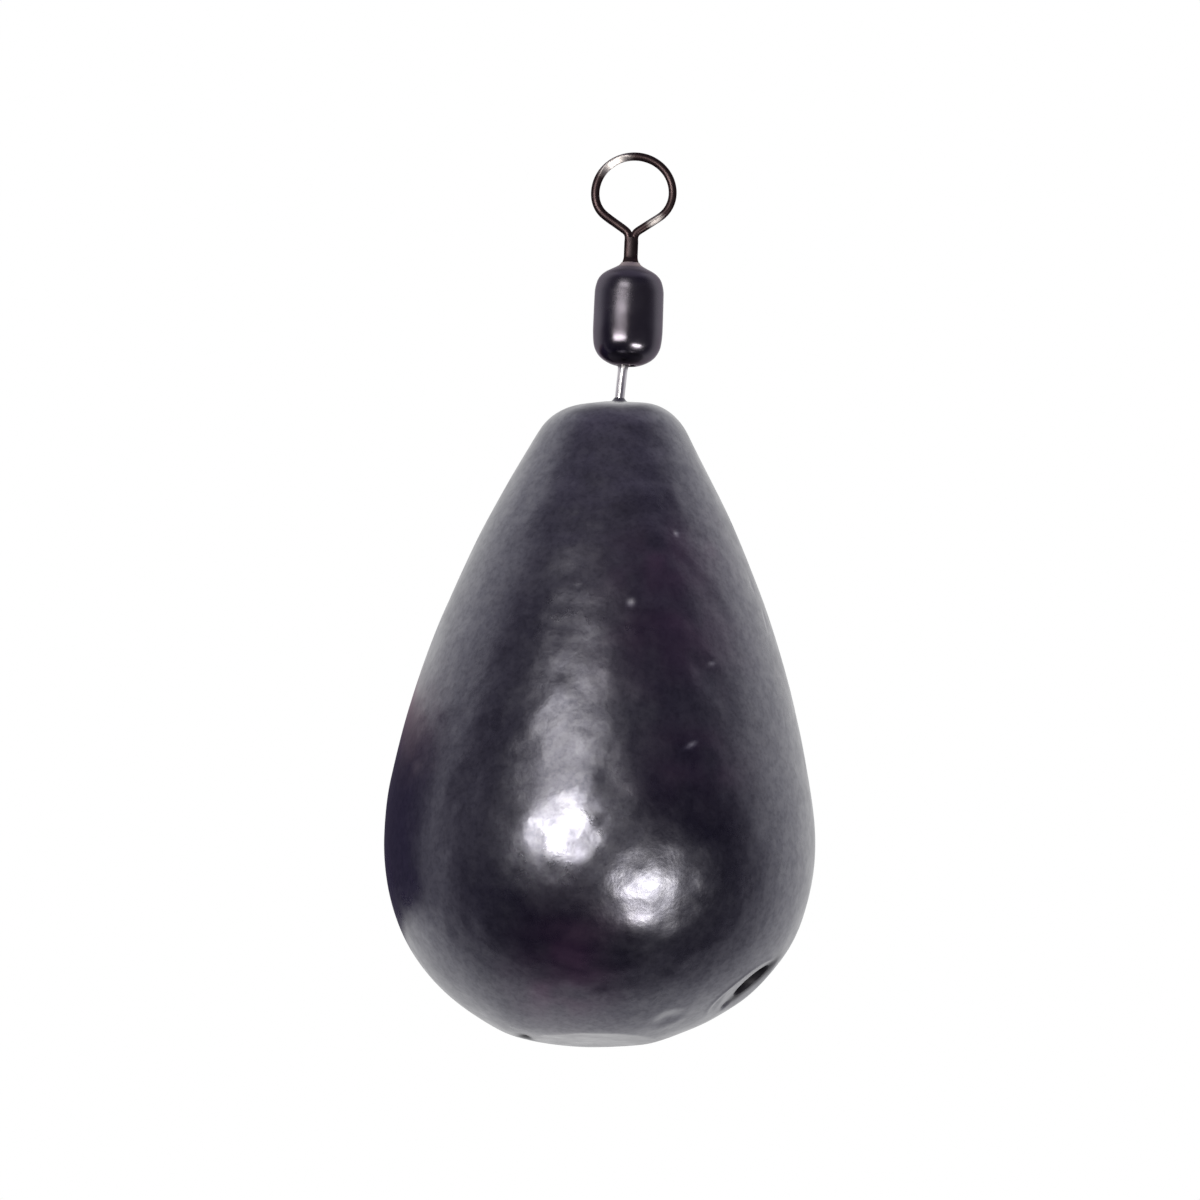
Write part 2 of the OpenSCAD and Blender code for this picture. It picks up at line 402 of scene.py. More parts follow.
LEAD = lead_material()
PLATING = barrel_material()
WIRE = wire_material("eye_wire", dark=(0.039, 0.026, 0.028), light=(0.064, 0.045, 0.045),
                     edge=(0.20, 0.17, 0.17), rough=0.42)
BARE_WIRE = wire_material("bare_wire", dark=(0.64, 0.62, 0.64), light=(0.78, 0.76, 0.78),
                          edge=(0.40, 0.38, 0.40), rough=0.40)


# The lead, worked out with its own axis upright and height zero at its widest level
LEAD_ROW_STEP = 0.15
LEAD_COLS = 440
# How far the plain pear is drawn in, so that its bumps stay inside the solid's box
SKIN_SINK = 0.025
# Level below which a point can belong to the base
BASE_Z = -8.5
# The pit is drawn this many times narrower across than the solid's round hole
PIT_SQUEEZE = 1.3


def lead_profile():
    """Outline of the lead from the middle of its base to the middle of its top, as radius and height."""
    belly = np.array([LEAD_D / 2 - BELLY_ARC_R, 0.0])
    dome_z = TOP_H - TOP_DOME_R
    rise = math.sqrt((TOP_DOME_R - SHOULDER_R) ** 2 - SHOULDER_X ** 2)
    shoulder = np.array([SHOULDER_X, dome_z + rise])
    # The flank's arc touches the arcs of the belly and of the shoulder from outside
    belly_reach, shoulder_reach = FLANK_ARC_R - BELLY_ARC_R, FLANK_ARC_R - SHOULDER_R
    line = shoulder - belly
    dist = np.linalg.norm(line)
    way = line / dist
    along = (belly_reach * belly_reach - shoulder_reach * shoulder_reach + dist * dist) / (2 * dist)
    across = math.sqrt(belly_reach * belly_reach - along * along)
    flank = belly + way * along + np.array([-way[1], way[0]]) * across
    start = math.atan2(*(belly - flank)[::-1])
    end = math.atan2(*(shoulder - flank)[::-1])
    last = math.atan2(*(shoulder - np.array([0, dome_z]))[::-1])
    pts = [np.array([[0.0, -BELLY_H]]),
           arc((BASE_ARC_X, 0), BASE_ARC_R, -math.asin(BELLY_H / BASE_ARC_R), 0, 200),
           arc(belly, BELLY_ARC_R, 0, start, 80)[1:],
           arc(flank, FLANK_ARC_R, start, end, 200)[1:],
           arc(shoulder, SHOULDER_R, end, last, 60)[1:],
           arc((0, dome_z), TOP_DOME_R, last, math.pi / 2, 60)[1:]]
    return soften(np.concatenate(pts), 0.10, 0.02)


def graded(length, base_step, bands):
    """Stops from 0 to length, closer together inside the bands (middle, half width, step)."""
    s = np.linspace(0, length, 20001)
    density = np.full(len(s), 1 / base_step)
    for mid, half, step in bands:
        density += (1 / step - 1 / base_step) * (1 - smooth(np.abs(s - mid), half * 0.8, half * 1.25))
    total = np.concatenate([[0], np.cumsum((density[1:] + density[:-1]) / 2 * np.diff(s))])
    n = int(round(total[-1]))
    return np.interp(np.linspace(0, total[-1], n + 1), total, s)


def lead_grid():
    """Points of the plain pear, row by row from its base to its top and then its two poles, the ways
    out of them, the radius and the height of each row, and the number of columns."""
    profile = lead_profile()
    d = distances(profile)
    # Rows lie closer at the base's rim, at the round mark and on the top, and columns at the mark
    mark_s = BASE_FLAT_R + BASE_ARC_R * (math.asin(BELLY_H / BASE_ARC_R) - rad(RECESS_BELOW))
    bands = [(BASE_FLAT_R, 0.5, 0.06), (mark_s, 2.6, 0.045), (d[-1], 1.4, 0.07)]
    s = graded(d[-1], LEAD_ROW_STEP, bands)[1:-1]
    row_r, row_z = np.interp(s, d, profile[:, 0]), np.interp(s, d, profile[:, 1])
    slope_r, slope_z = np.gradient(row_r, s), np.gradient(row_z, s)
    full_turn = 2 * math.pi
    around = graded(full_turn, full_turn / LEAD_COLS, [(math.pi, rad(19), rad(0.32))])[:-1]
    around = around - rad(RECESS_TURN) - math.pi
    cols = len(around)

    def turned(across, up):
        return np.stack([np.outer(across, np.cos(around)), np.outer(across, np.sin(around)),
                         np.repeat(up[:, None], cols, 1)], -1).reshape(-1, 3)

    p, n = turned(row_r, row_z), turned(slope_z, -slope_r)
    n /= np.linalg.norm(n, axis=1)[:, None]
    p = np.concatenate([p, [[0, 0, profile[0, 1]], [0, 0, profile[-1, 1]]]])
    n = np.concatenate([n, [[0, 0, -1], [0, 0, 1]]])
    return p, n, row_r, row_z, cols


def on_lead(turn, below):
    """Point on the lead's lower surface, the way out of it there, up along it and sideways."""
    t, b = rad(turn), rad(below)
    out = np.array([math.cos(b) * math.cos(t), -math.cos(b) * math.sin(t), -math.sin(b)])
    center = np.array([BASE_ARC_X * math.cos(t), -BASE_ARC_X * math.sin(t), 0.0]) + BASE_ARC_R * out
    up = np.array([math.sin(b) * math.cos(t), -math.sin(b) * math.sin(t), math.cos(b)])
    return center, out, up, np.cross(out, up)


def cast_skin(p, n, rho):
    """Long soft unevenness of a hand poured casting, then the mottled skin. Returns how strong the
    skin is at each point."""
    low = 0.022 * noise(p, 7.0, 1) + 0.014 * noise(p, 3.2, 2)
    front = smooth(-n[:, 1] * 0.97 - n[:, 0] * 0.1, 0.15, 0.85)
    relief = (0.12 + 0.88 * front) * (0.7 + 0.3 * smooth(noise(p, 6.0, 3), -0.7, 0.7))
    skin = (0.026 * noise(p, 1.5, 4) + 0.010 * noise(p, 0.85, 5) + 0.002 * noise(p, 0.5, 6)) * relief
    # Thin flow wrinkles where the metal met while it set
    wrinkle = bell(noise(p, 2.6, 9) / 0.24) * smooth(noise(p, 3.4, 10), 0.15, 0.6)
    skin += 0.006 * wrinkle * relief
    p += n * ((low + skin - SKIN_SINK) * smooth(rho, 0.5, 1.5))[:, None]
    return relief


# Fuller and worn places of the lower outline: place across and up, size, height
FULLNESSES = [(-4.0, -9.5, 1.3, 0.09), (4.7, -9.1, 1.9, -0.17), (10.0, -4.4, 1.6, 0.08),
              (6.5, -7.9, 1.1, -0.08)]


def fill_out(p, n, rho):
    """Small departures of the photo's outline from the plain pear."""
    # The widest level is a little flat on the left
    p[:, 0] += 0.10 * bell((p[:, 2] + 1.0) / 3.3) * smooth(-p[:, 0], 3, 10)
    for x, z, size, height in FULLNESSES:
        q = np.hypot(p[:, 0] - x, p[:, 2] - z) / size
        p += n * (height * bell(q) * (1 - smooth(np.abs(p[:, 1]), 2, 7)))[:, None]
    # The shoulder is fuller, most of all on the left, and the top rises to the right
    q = np.hypot(rho - 3.7, p[:, 2] - (TOP_H - 1.2)) / 1.4
    p += n * (0.08 * (1 - 0.5 * smooth(p[:, 0], -1, 3)) * bell(q))[:, None]
    high = (p[:, 2] > TOP_H - 2.5) * (1 - smooth(rho, 2.2, 4.2))
    p[:, 2] += (0.04 + 0.16 * smooth(p[:, 0], 0.1, 2.0)) * high


def cut_base(p, rho, painted_shade):
    """The base is cut by a plane that rises to the right and to the front."""
    cut = -BELLY_H - 0.05 + 0.024 * (p[:, 0] + 2.9) + 0.035 * (2.7 - p[:, 1])
    lift = soft_max(p[:, 2], cut, 0.02) - p[:, 2]
    under = (p[:, 2] < BASE_Z) & (rho < 5)
    ripple = 0.010 * noise(p, 1.1, 13) * smooth(lift, 0.0, 0.03)
    p[:, 2] += (lift + ripple) * under
    # Behind the flat the metal hangs a little lower, though not past the solid's base
    behind = np.exp(-(((p[:, 0] + 1.0) / 2.6) ** 2) - ((p[:, 1] - 3.9) / 1.3) ** 2)
    p[:, 2] = np.maximum(p[:, 2] - 0.07 * behind * (p[:, 2] < BASE_Z), -BELLY_H)
    # A small nick at the left end of that flat, painted nearly black as a dark reflection
    nick = bell(np.hypot((p[:, 0] + 3.35) / 0.32, (p[:, 1] + 0.4) / 0.9)) * under
    p += np.outer(0.13 * nick, [0.5, 0, 1])
    np.maximum(painted_shade, 0.9 * nick, out=painted_shade)


def press_mark(p, painted_shade):
    """Round, nearly flat mark low on the right, with its pit."""
    c, out, up, side = on_lead(RECESS_TURN, RECESS_BELOW)
    q = p - c
    h, u1, u2 = q @ out, q @ side, q @ up
    near = np.abs(h) < 2.5
    rr = np.hypot(u1, u2) * (1 + 0.03 * np.sin(3 * np.arctan2(u2, u1) + 0.6))
    bulge = BASE_ARC_R - math.sqrt(BASE_ARC_R ** 2 - RECESS_R ** 2)
    floor = -RECESS_DEPTH + (rr / RECESS_R) ** 2 * (RECESS_DEPTH - bulge)
    inside = near * (1 - smooth(rr, RECESS_R, RECESS_R * 1.12))
    p += out * ((soft_min(h, floor, 0.035) - h) * inside)[:, None]
    lip = bell((rr - RECESS_R * 1.02) / 0.16) * smooth(u1, -0.4, 0.8) * near
    p += out * (0.035 * lip)[:, None]

    pit_rr = np.hypot(u1 * PIT_SQUEEZE, u2 - PIT_RISE)
    pit_rr = pit_rr * (1 + 0.05 * np.sin(2 * np.arctan2(u2 - PIT_RISE, u1) + 1.0))
    drop = PIT_DEPTH * (1 - smooth(pit_rr, PIT_R - 0.32, PIT_R + 0.10)) * near
    p -= out * drop[:, None]
    # Painted shade in the pit, thinner in its upper half, and round it on one side
    dark = near * (1 - smooth(pit_rr, PIT_R - 0.30, PIT_R + 0.12)) * (1 - 0.4 * smooth(u2, 0, 1))
    np.maximum(painted_shade, dark, out=painted_shade)
    painted_dark = 0.75 * bell(np.maximum(pit_rr - PIT_R, 0) / 0.7) * (1 - smooth(u1, -0.6, 0.9))
    np.maximum(painted_shade, painted_dark * near, out=painted_shade)
    # A small dent below the pit, with painted shade in it
    spot = np.hypot(u1 + 0.15, u2 + 1.10)
    np.maximum(painted_shade, 0.45 * near * (1 - smooth(spot, 0.1, 0.45)), out=painted_shade)
    p -= out * (0.10 * (1 - smooth(spot, 0.1, 0.5)) * near)[:, None]


def press_dimple(p):
    """Shallow dimple near the base, with a soft raised rim."""
    c, out, _, _ = on_lead(DIMPLE_TURN, DIMPLE_BELOW)
    q = p - c
    h = q @ out
    rr = np.linalg.norm(q - np.outer(h, out), axis=1)
    rim = 0.012 * bell((rr - DIMPLE_R * 1.2) / 0.3)
    dip = rim - DIMPLE_DEPTH * (1 - smooth(rr, 0.0, DIMPLE_R * 1.15))
    p += out * (0.7 * dip * (np.abs(h) < 2))[:, None]


# Knocks seen in the photo: turn from the front, height, size along and across, tilt, depth, brightness
SEEN_KNOCKS = [(7.8, 11.69, 0.19, 0.18, 0, 0.03, 1.0), (29.9, 15.47, 0.13, 0.12, 0, 0.04, 0.8),
               (35.6, 8.76, 0.26, 0.10, 0.3, 0.03, 0.7), (25.3, 4.47, 0.34, 0.11, 0.5, 0.04, 1.0),
               (71.7, 13.37, 0.25, 0.18, 1.2, 0.08, 0.5), (73.8, 11.62, 0.5, 0.14, 1.3, 0.05, 0.5),
               (-16.0, 16.2, 0.16, 0.12, 0.2, 0.02, 0.05), (-11.0, 12.4, 0.2, 0.16, 0.3, 0.02, 0.05)]
BACK_KNOCKS = 46


def knock(p, n, row_r, row_z, scuff):
    """The knocks seen in the photo, and more of them round the sides and the back."""
    knocks = list(SEEN_KNOCKS)
    rng = np.random.default_rng(21)
    for _ in range(BACK_KNOCKS):
        knocks.append((rng.uniform(80, 290), rng.uniform(-7, 20), rng.uniform(0.1, 0.3),
                       rng.uniform(0.08, 0.16), rng.uniform(0, 3.1), rng.uniform(0.015, 0.05),
                       rng.uniform(0.1, 0.7)))
    for turn, z, la, lb, tilt, depth, bright in knocks:
        i = int(np.argmin(np.abs(row_z - z)))
        a = rad(turn - 90)
        q = p - np.array([row_r[i] * math.cos(a), row_r[i] * math.sin(a), row_z[i]])
        close = np.linalg.norm(q, axis=1) < 2.5 * max(la, lb) + 0.3
        q = q[close]
        e1, e2 = q @ np.array([-math.sin(a), math.cos(a), 0]), q[:, 2]
        f1 = e1 * math.cos(tilt) + e2 * math.sin(tilt)
        f2 = -e1 * math.sin(tilt) + e2 * math.cos(tilt)
        g = np.exp(-((f1 / la) ** 2 + (f2 / lb) ** 2))
        p[close] -= n[close] * (depth * g)[:, None]
        scuff[close] = np.maximum(scuff[close], g * bright)


def draw_up(p, painted_shade):
    """Lead drawn up a little round the wire where it comes out, with painted shadow close round the
    wire.
    """
    exit_x = LEAD_SHIFT - EYE_DRIFT - (HEAD_TOP + LEAD_DROP) * math.sin(rad(EYE_LEAN))
    on_top = p[:, 2] > TOP_H - 1.5
    gap = np.hypot(p[:, 0] - exit_x, np.maximum(np.abs(p[:, 1]) - LEG_X, 0)) - WIRE_R
    gap = np.maximum(gap, 0)
    p[:, 2] += (0.03 * np.exp(-gap / 0.3) + 0.20 * bell(gap / 0.13)) * on_top
    # Painted shadow in the narrow fillet round the wire
    np.maximum(painted_shade, 0.7 * np.exp(-gap / 0.14) * on_top, out=painted_shade)


# Blooms seen in the photo: place across and up, size, strength
SEEN_BLOOMS = [(-1.4, -6.4, 2.1, 0.95), (2.6, 13.4, 2.4, 0.55), (3.2, 9.6, 2.4, 0.6),
               (4.4, 3.4, 2.2, 0.45)]


def oxide(p):
    """Strength of the faint reddish blooms of oxide at each point."""
    blush = 0.3 * smooth(noise(p, 5.0, 14), 0.35, 0.9) * (0.6 + 0.4 * noise(p, 1.2, 15)) * (p[:, 1] > 3)
    patchy = 0.75 + 0.35 * noise(p, 1.0, 16)
    for x, z, size, much in SEEN_BLOOMS:
        q = np.hypot(p[:, 0] - x, p[:, 2] - z) / size
        blush = np.maximum(blush, much * bell(q) * (p[:, 1] < 0) * patchy)
    return np.clip(blush, 0, 1)


def make_lead():
    p, n, row_r, row_z, cols = lead_grid()
    rho = np.hypot(p[:, 0], p[:, 1])
    scuff = np.zeros(len(p))
    painted_shade = np.zeros(len(p))
    relief = cast_skin(p, n, rho)
    fill_out(p, n, rho)
    cut_base(p, rho, painted_shade)
    press_mark(p, painted_shade)
    press_dimple(p)
    knock(p, n, row_r, row_z, scuff)
    draw_up(p, painted_shade)
    blush = oxide(p)

    rows = len(row_r)
    faces = grid_faces(rows, cols, True)
    south, north = rows * cols, rows * cols + 1
    last = (rows - 1) * cols
    for k in range(cols):
        j = (k + 1) % cols
        faces += [[south, j, k], [north, last + k, last + j]]
    p = p + np.array([-LEAD_SHIFT, 0, belly_z])
    ob = build("lead_casting", p, faces, "lead", LEAD, ["lead_body"])
    for name, values in (("scuff", scuff), ("painted_shade", painted_shade), ("blush", blush), ("relief", relief)):
        paint(ob, name, values)
    return ob


# The eyes, worked out with height zero at the barrel's end and +Z away from the barrel
WIRE_SIDES = 28
SLEEVE_ROWS = 36
SLEEVE_SIDES = 36
HEAD_SIDES = 48
# Way that the worn flats and the painted highlight of a loop face, halfway between the camera and the
# lamps low on the right
WORN_WAY = np.array([0.237, -0.898, -0.371])


def half_loop():
    """Centre line of half an eye from the top of its loop to its leg, height zero at the loop's centre,
    and the height where the leg starts."""
    sa = rad(SIDE_ANGLE)
    corner = (LOOP_R - CORNER_R, 0.0)
    side_top = np.array([corner[0] + CORNER_R * math.cos(sa), -CORNER_R * math.sin(sa)])
    bend_x = LEG_X + BEND_R
    foot_x = bend_x - BEND_R * math.cos(sa)
    side_l = (side_top[0] - foot_x) / math.sin(sa)
    bend_z = side_top[1] - side_l * math.cos(sa) - BEND_R * math.sin(sa)
    pts = [arc((0, 0), LOOP_R, math.pi / 2, 0, 80), arc(corner, CORNER_R, 0, -sa, 50)[1:],
           arc((bend_x, bend_z), BEND_R, math.pi - sa, math.pi, 16)]
    return np.concatenate(pts), bend_z


def eye_path(neck):
    """Centre line of an eye's wire, and the height of its loop's centre."""
    half, bend_z = half_loop()
    mid = neck - bend_z
    leg = np.array([[LEG_X, neck * 0.5], [LEG_X, 0.0], [LEG_X, -HEAD_EDGE]])
    half = np.concatenate([half + np.array([0, mid]), leg])
    line = soften(np.concatenate([half[::-1], half[1:] * [-1, 1]]), 0.09, 0.03)
    # Bent by hand: the loop leans to one side, its top is low and its lower left is fuller
    x, z = line[:, 0], line[:, 1]
    x = x + 0.018 * np.maximum(z - neck, 0)
    x = x - 0.05 * bell((z - neck - 1.0) / 0.8) * smooth(-x, 0.2, 1.2)
    z = np.where(z > mid, mid + (z - mid) * 0.957, z)
    return resample(np.stack([x, 0.015 * np.sin(z * 1.3 + x), z], 1), 0.05), mid


def wear(p, path, mid):
    """Wears the loop flat in two places, facing halfway between the camera and the lamps low on the
    right. Returns how bare each point is there, spread as a painted highlight over the side of the wire
    that faces that way.
    """
    turn = np.degrees(np.arctan2(path[:, 2] - mid, path[:, 0]))
    worn = np.maximum(np.exp(-(((turn - 124) / 24) ** 4)), 0.5 * np.exp(-(((turn + 50) / 13) ** 4)))
    worn = np.repeat(worn, WIRE_SIDES)
    h = (p - np.repeat(path, WIRE_SIDES, 0)) @ WORN_WAY
    limit = WIRE_R * (1.05 - 0.5 * worn)
    p -= np.outer(soft_max(h - limit, 0, 0.02) * (worn > 0.02), WORN_WAY)
    return worn * smooth(h, 0.0, 0.12)


def sleeve(neck, thick, foot):
    """Levels and points of the plating that covers the two legs like a sleeve."""
    levels = np.linspace(-HEAD_TOP, neck + 0.02, SLEEVE_ROWS)
    a = np.linspace(0, 2 * math.pi, SLEEVE_SIDES, endpoint=False)
    rings = []
    for z in levels:
        flare = 1.02 + 0.20 * math.exp(-((z / 0.17) ** 2)) - 0.05 * smooth(z, neck - 0.25, neck + 0.02)
        across = (LEG_REACH * thick + 0.004) * flare
        deep = (WIRE_R * thick + 0.012) * flare + foot * math.exp(-((z / 0.2) ** 2))
        rings.append(np.column_stack([across * np.cos(a), deep * np.sin(a), np.full(SLEEVE_SIDES, z)]))
    return levels, np.concatenate(rings)


def eye_head(start):
    """Points and faces of the head that holds an eye in the barrel."""
    dome_r = (HEAD_R ** 2 + HEAD_DOME_H ** 2) / (2 * HEAD_DOME_H)
    head_l = HEAD_EDGE + HEAD_RIM_H + HEAD_DOME_H
    dome_end = math.asin(HEAD_R / dome_r) - math.pi / 2
    dome = arc((0, dome_r - head_l), dome_r, -math.pi / 2 + 0.01, dome_end, 12)
    rest = [[HEAD_R, -HEAD_EDGE], [HOLE_R, -HEAD_TOP], [0.02, -HEAD_TOP]]
    return lathe(soften(np.concatenate([dome, rest]), 0.03, 0.03), HEAD_SIDES, start)


def eye(neck, thick, foot, sleeve_darkening):
    """Points and faces of an eye, how bare and highlighted each point is, and how much painted darkening
    it has. At the barrel its sleeve is deeper from front to back by foot on each side."""
    path, mid = eye_path(neck)
    r = thick * WIRE_R * (1.01 - 0.02 * path[:, 0]) * (1 + 0.008 * np.sin(np.arange(len(path)) * 0.13))
    wire = tube(path, r, WIRE_SIDES)
    wear_and_highlight = wear(wire, path, mid)
    levels, cover = sleeve(neck, thick, foot)
    head, head_faces = eye_head(len(wire) + len(cover))
    faces = (rod_faces(len(path), WIRE_SIDES) + rod_faces(SLEEVE_ROWS, SLEEVE_SIDES, len(wire))
             + head_faces)
    wear_and_highlight = np.concatenate([wear_and_highlight, np.zeros(len(cover) + len(head))])
    painted_dark = np.concatenate([np.zeros(len(wire)), np.repeat(sleeve_darkening(levels), SLEEVE_SIDES),
                            np.zeros(len(head))])
    return np.concatenate([wire, cover, head]), faces, wear_and_highlight, painted_dark


def turned_by(p, angle, axis):
    return p @ np.array(Matrix.Rotation(angle, 3, axis)).T


def make_upper_eye():
    # The sleeve is painted darker up the neck, from a little above the barrel
    p, faces, wear_and_highlight, painted_dark = eye(NECK_L, 1.0, 0.14, lambda z: 0.9 * smooth(z, 0.15, 0.4))
    ob = build("upper_eye_wire", p + np.array([0, 0, barrel_top]), faces, "upper_eye", WIRE,
               ["upper_eye"])
    paint(ob, "wear_and_highlight", wear_and_highlight)
    paint(ob, "painted_dark", painted_dark)
    return ob


def make_lower_eye():
    """Turned a quarter, upside down, leaning about its head and hanging to one side of its hole."""
    # Painted shade on the sleeve next to the barrel
    p, faces, _, painted_dark = eye(LEAD_DROP + NECK_SINK, 1.07, 0.0, lambda z: bell(z / 0.22))
    p = turned_by(turned_by(p, rad(90), "Z"), math.pi, "X")
    p = turned_by(p + np.array([0, 0, -HEAD_TOP]), rad(EYE_LEAN), "Y")
    p = p + np.array([-EYE_DRIFT, 0, barrel_base + HEAD_TOP])
    ob = build("lower_eye_wire", p, faces, "lead", BARE_WIRE, ["lower_eye"])
    paint(ob, "painted_dark", painted_dark)
    return ob


# The barrel, worked out with height zero at its upper end
BARREL_SIDES = 120
# Its outside from the upper hole to the lower one, as radius and height, read off the photo's outline
BARREL_OUTLINE = [[HOLE_R, 0.02], [0.50, -0.05], [0.63, -0.155], [0.835, -0.265], [1.05, -0.37],
                  [1.235, -0.47], [1.375, -0.57], [1.48, -0.67], [1.56, -0.77], [1.616, -0.87],
                  [1.66, -0.97], [1.69, -1.08], [1.718, -1.18], [1.737, -1.28], [1.753, -1.39],
                  [1.764, -1.49], [1.770, -1.9], [1.776, -2.9], [1.781, -3.45], [1.774, -3.65],
                  [1.760, -3.85], [1.741, -4.05], [1.708, -4.26], [1.682, -4.36], [1.645, -4.46],
                  [1.595, -4.57], [1.535, -4.68], [1.455, -4.79], [1.36, -4.89], [1.24, -4.99],
                  [1.08, -5.09], [0.87, -5.19], [0.66, -5.26], [HOLE_R + 0.03, -5.29],
                  [HOLE_R, -5.27], [HOLE_R, -BARREL_L + 0.06]]


def make_barrel():
    seat = BARREL_END_T + (CHAMBER_R - HOLE_R) * math.tan(rad(END_SLOPE))
    outer = resample(soften(np.array(BARREL_OUTLINE), 0.05, 0.02), 0.05)
    inner = resample(np.array([[HOLE_R, BARREL_END_T - BARREL_L], [CHAMBER_R, seat - BARREL_L],
                               [CHAMBER_R, -seat], [HOLE_R, -BARREL_END_T]]), 0.15)
    p, faces = lathe(np.concatenate([outer, inner, outer[:1]]), BARREL_SIDES)
    z, r = p[:, 2], np.hypot(p[:, 0], p[:, 1])
    zero = np.zeros(len(p))
    # Rings left by the drawing die, and small waves
    ring = noise(np.column_stack([zero, zero, z]), 0.42, 17)
    wave = 0.009 * noise(p, 1.2, 11) + 0.0015 * noise(p, 0.6, 12) + 0.0010 * ring
    out = np.stack([p[:, 0] / r, p[:, 1] / r, zero], 1)
    p = p + out * (wave * smooth(r, 0.6, 1.0))[:, None]
    ob = build("swivel_shell", p + np.array([0, 0, barrel_top]), faces, "barrel", PLATING,
               ["swivel_barrel"])
    # Round the holes the ends have painted shade where the wires go in, the lower part is smoother and
    # the collar of the upper hole has painted light where it sits in shade
    at_end = np.abs(z + BARREL_L / 2) >= BARREL_L / 2 - 1.2
    amount = np.where(z > -BARREL_L / 2, 0.3, 0.85)
    paint(ob, "painted_dark", (1 - smooth(r, 0.7, 1.6)) * amount * at_end)
    paint(ob, "polish", smooth(-z, 2.0, 3.4))
    paint(ob, "painted_light", (1 - smooth(r, 0.55, 0.9)) * (z > -0.4))
    return ob


lead = make_lead()
upper_wire = make_upper_eye()
lower_wire = make_lower_eye()
shell = make_barrel()
# The photo shows hardly any reflections of the swivel's pieces in one another or in the lead's top
for piece in (upper_wire, lower_wire, shell):
    piece.visible_glossy = False


# Floor, light and camera, with sizes in metres where nothing else is said
FLOOR_HALF = 2.5
FLOOR_Z = -0.24
LAMP_COLOR = (1.0, 0.985, 0.93)


def make_floor():
    a, z = FLOOR_HALF, FLOOR_Z
    me = bpy.data.meshes.new("studio_floor")
    me.from_pydata([(-a, -a, z), (a, -a, z), (a, a, z), (-a, a, z)], [], [(0, 1, 2, 3)])
    m, nt, bsdf = new_material("floor_paper")
    cloud = object_noise(nt, 0.01, 2.0, 0.5)
    tone = ramp(nt, cloud, [(0.3, (0.86, 0.86, 0.86)), (0.7, (0.9, 0.9, 0.9))])
    nt.links.new(tone, bsdf.inputs["Base Color"])
    bsdf.inputs["Roughness"].default_value = 0.9
    bsdf.inputs["Specular IOR Level"].default_value = 0.1
    me.materials.append(m)
    ob = bpy.data.objects.new("studio_floor", me)
    bpy.context.scene.collection.objects.link(ob)
    ob.visible_glossy = False
    ob.visible_shadow = False


def make_world():
    """White paper behind and beside the object, a dim room in front of it."""
    w = bpy.data.worlds.new("studio")
    bpy.context.scene.world = w
    w.use_nodes = True
    nt = w.node_tree
    nt.nodes.clear()
    out = nt.nodes.new("ShaderNodeOutputWorld")
    way = node(nt, "ShaderNodeTexCoord").outputs["Generated"]
    x, y, z = node(nt, "ShaderNodeSeparateXYZ", {0: way}).outputs
    # The bright side reaches further round above than below
    rise = math_node(nt, "MULTIPLY", z, math_node(nt, "SUBTRACT", 1.0, math_node(nt, "POWER", z, 2.0)))
    turned = math_node(nt, "ADD", y, math_node(nt, "MULTIPLY", rise, 0.35))
    along = map_range(nt, turned, -1, 1, 0, 1, smoothly=False)
    col = ramp(nt, along, [(0.0, (0.033, 0.026, 0.062)), (0.36, (0.027, 0.022, 0.054)),
                           (0.47, (0.10, 0.088, 0.13)), (0.56, (0.31, 0.30, 0.34)),
                           (0.65, (0.58, 0.575, 0.60)), (0.78, (0.84, 0.84, 0.85)),
                           (0.9, (1.04, 1.04, 1.03))])
    # It is dim high up, but for the sides, and a little dimmer below
    beside = map_range(nt, math_node(nt, "ABSOLUTE", x), 0.2, 0.5, 0, 1)
    top = math_node(nt, "MAXIMUM", map_range(nt, z, 0.58, 0.88, 1, 0.22), beside)
    dim = math_node(nt, "MULTIPLY", top, map_range(nt, z, -0.9, -0.2, 0.86, 1))
    col = mix(nt, 1.0, col, combine(nt, dim, dim, dim), "MULTIPLY")
    # A little bluish light is added overhead and on the left
    ceiling = math_node(nt, "ADD", map_range(nt, z, 0.3, 0.8, 0, 0.05),
                        map_range(nt, z, 0.76, 0.95, 0, 0.22))
    extra = math_node(nt, "ADD", ceiling, map_range(nt, x, -0.5, -1.0, 0, 0.035))
    less = math_node(nt, "MULTIPLY", extra, 0.9)
    more = math_node(nt, "MULTIPLY", extra, 1.2)
    col = mix(nt, 1.0, col, combine(nt, extra, less, more), "ADD")
    lit = node(nt, "ShaderNodeBackground", {"Color": col, "Strength": 1.0}).outputs[0]
    plain = node(nt, "ShaderNodeBackground", {"Color": (1, 1, 1, 1), "Strength": 1.0}).outputs[0]
    seen = node(nt, "ShaderNodeLightPath").outputs["Is Camera Ray"]
    nt.links.new(node(nt, "ShaderNodeMixShader", {0: seen, 1: lit, 2: plain}).outputs[0], out.inputs[0])


def direction(azimuth, elevation):
    """The way to a place at that azimuth, counted from the front to the right, and elevation."""
    a, e = rad(azimuth), rad(elevation)
    return Vector((math.sin(a) * math.cos(e), -math.cos(a) * math.cos(e), math.sin(e)))


def group(name, pieces, height):
    """Pieces that a light can be kept to, and the height it aims at."""
    g = bpy.data.collections.new(name)
    for ob in pieces:
        g.objects.link(ob)
    return g, height


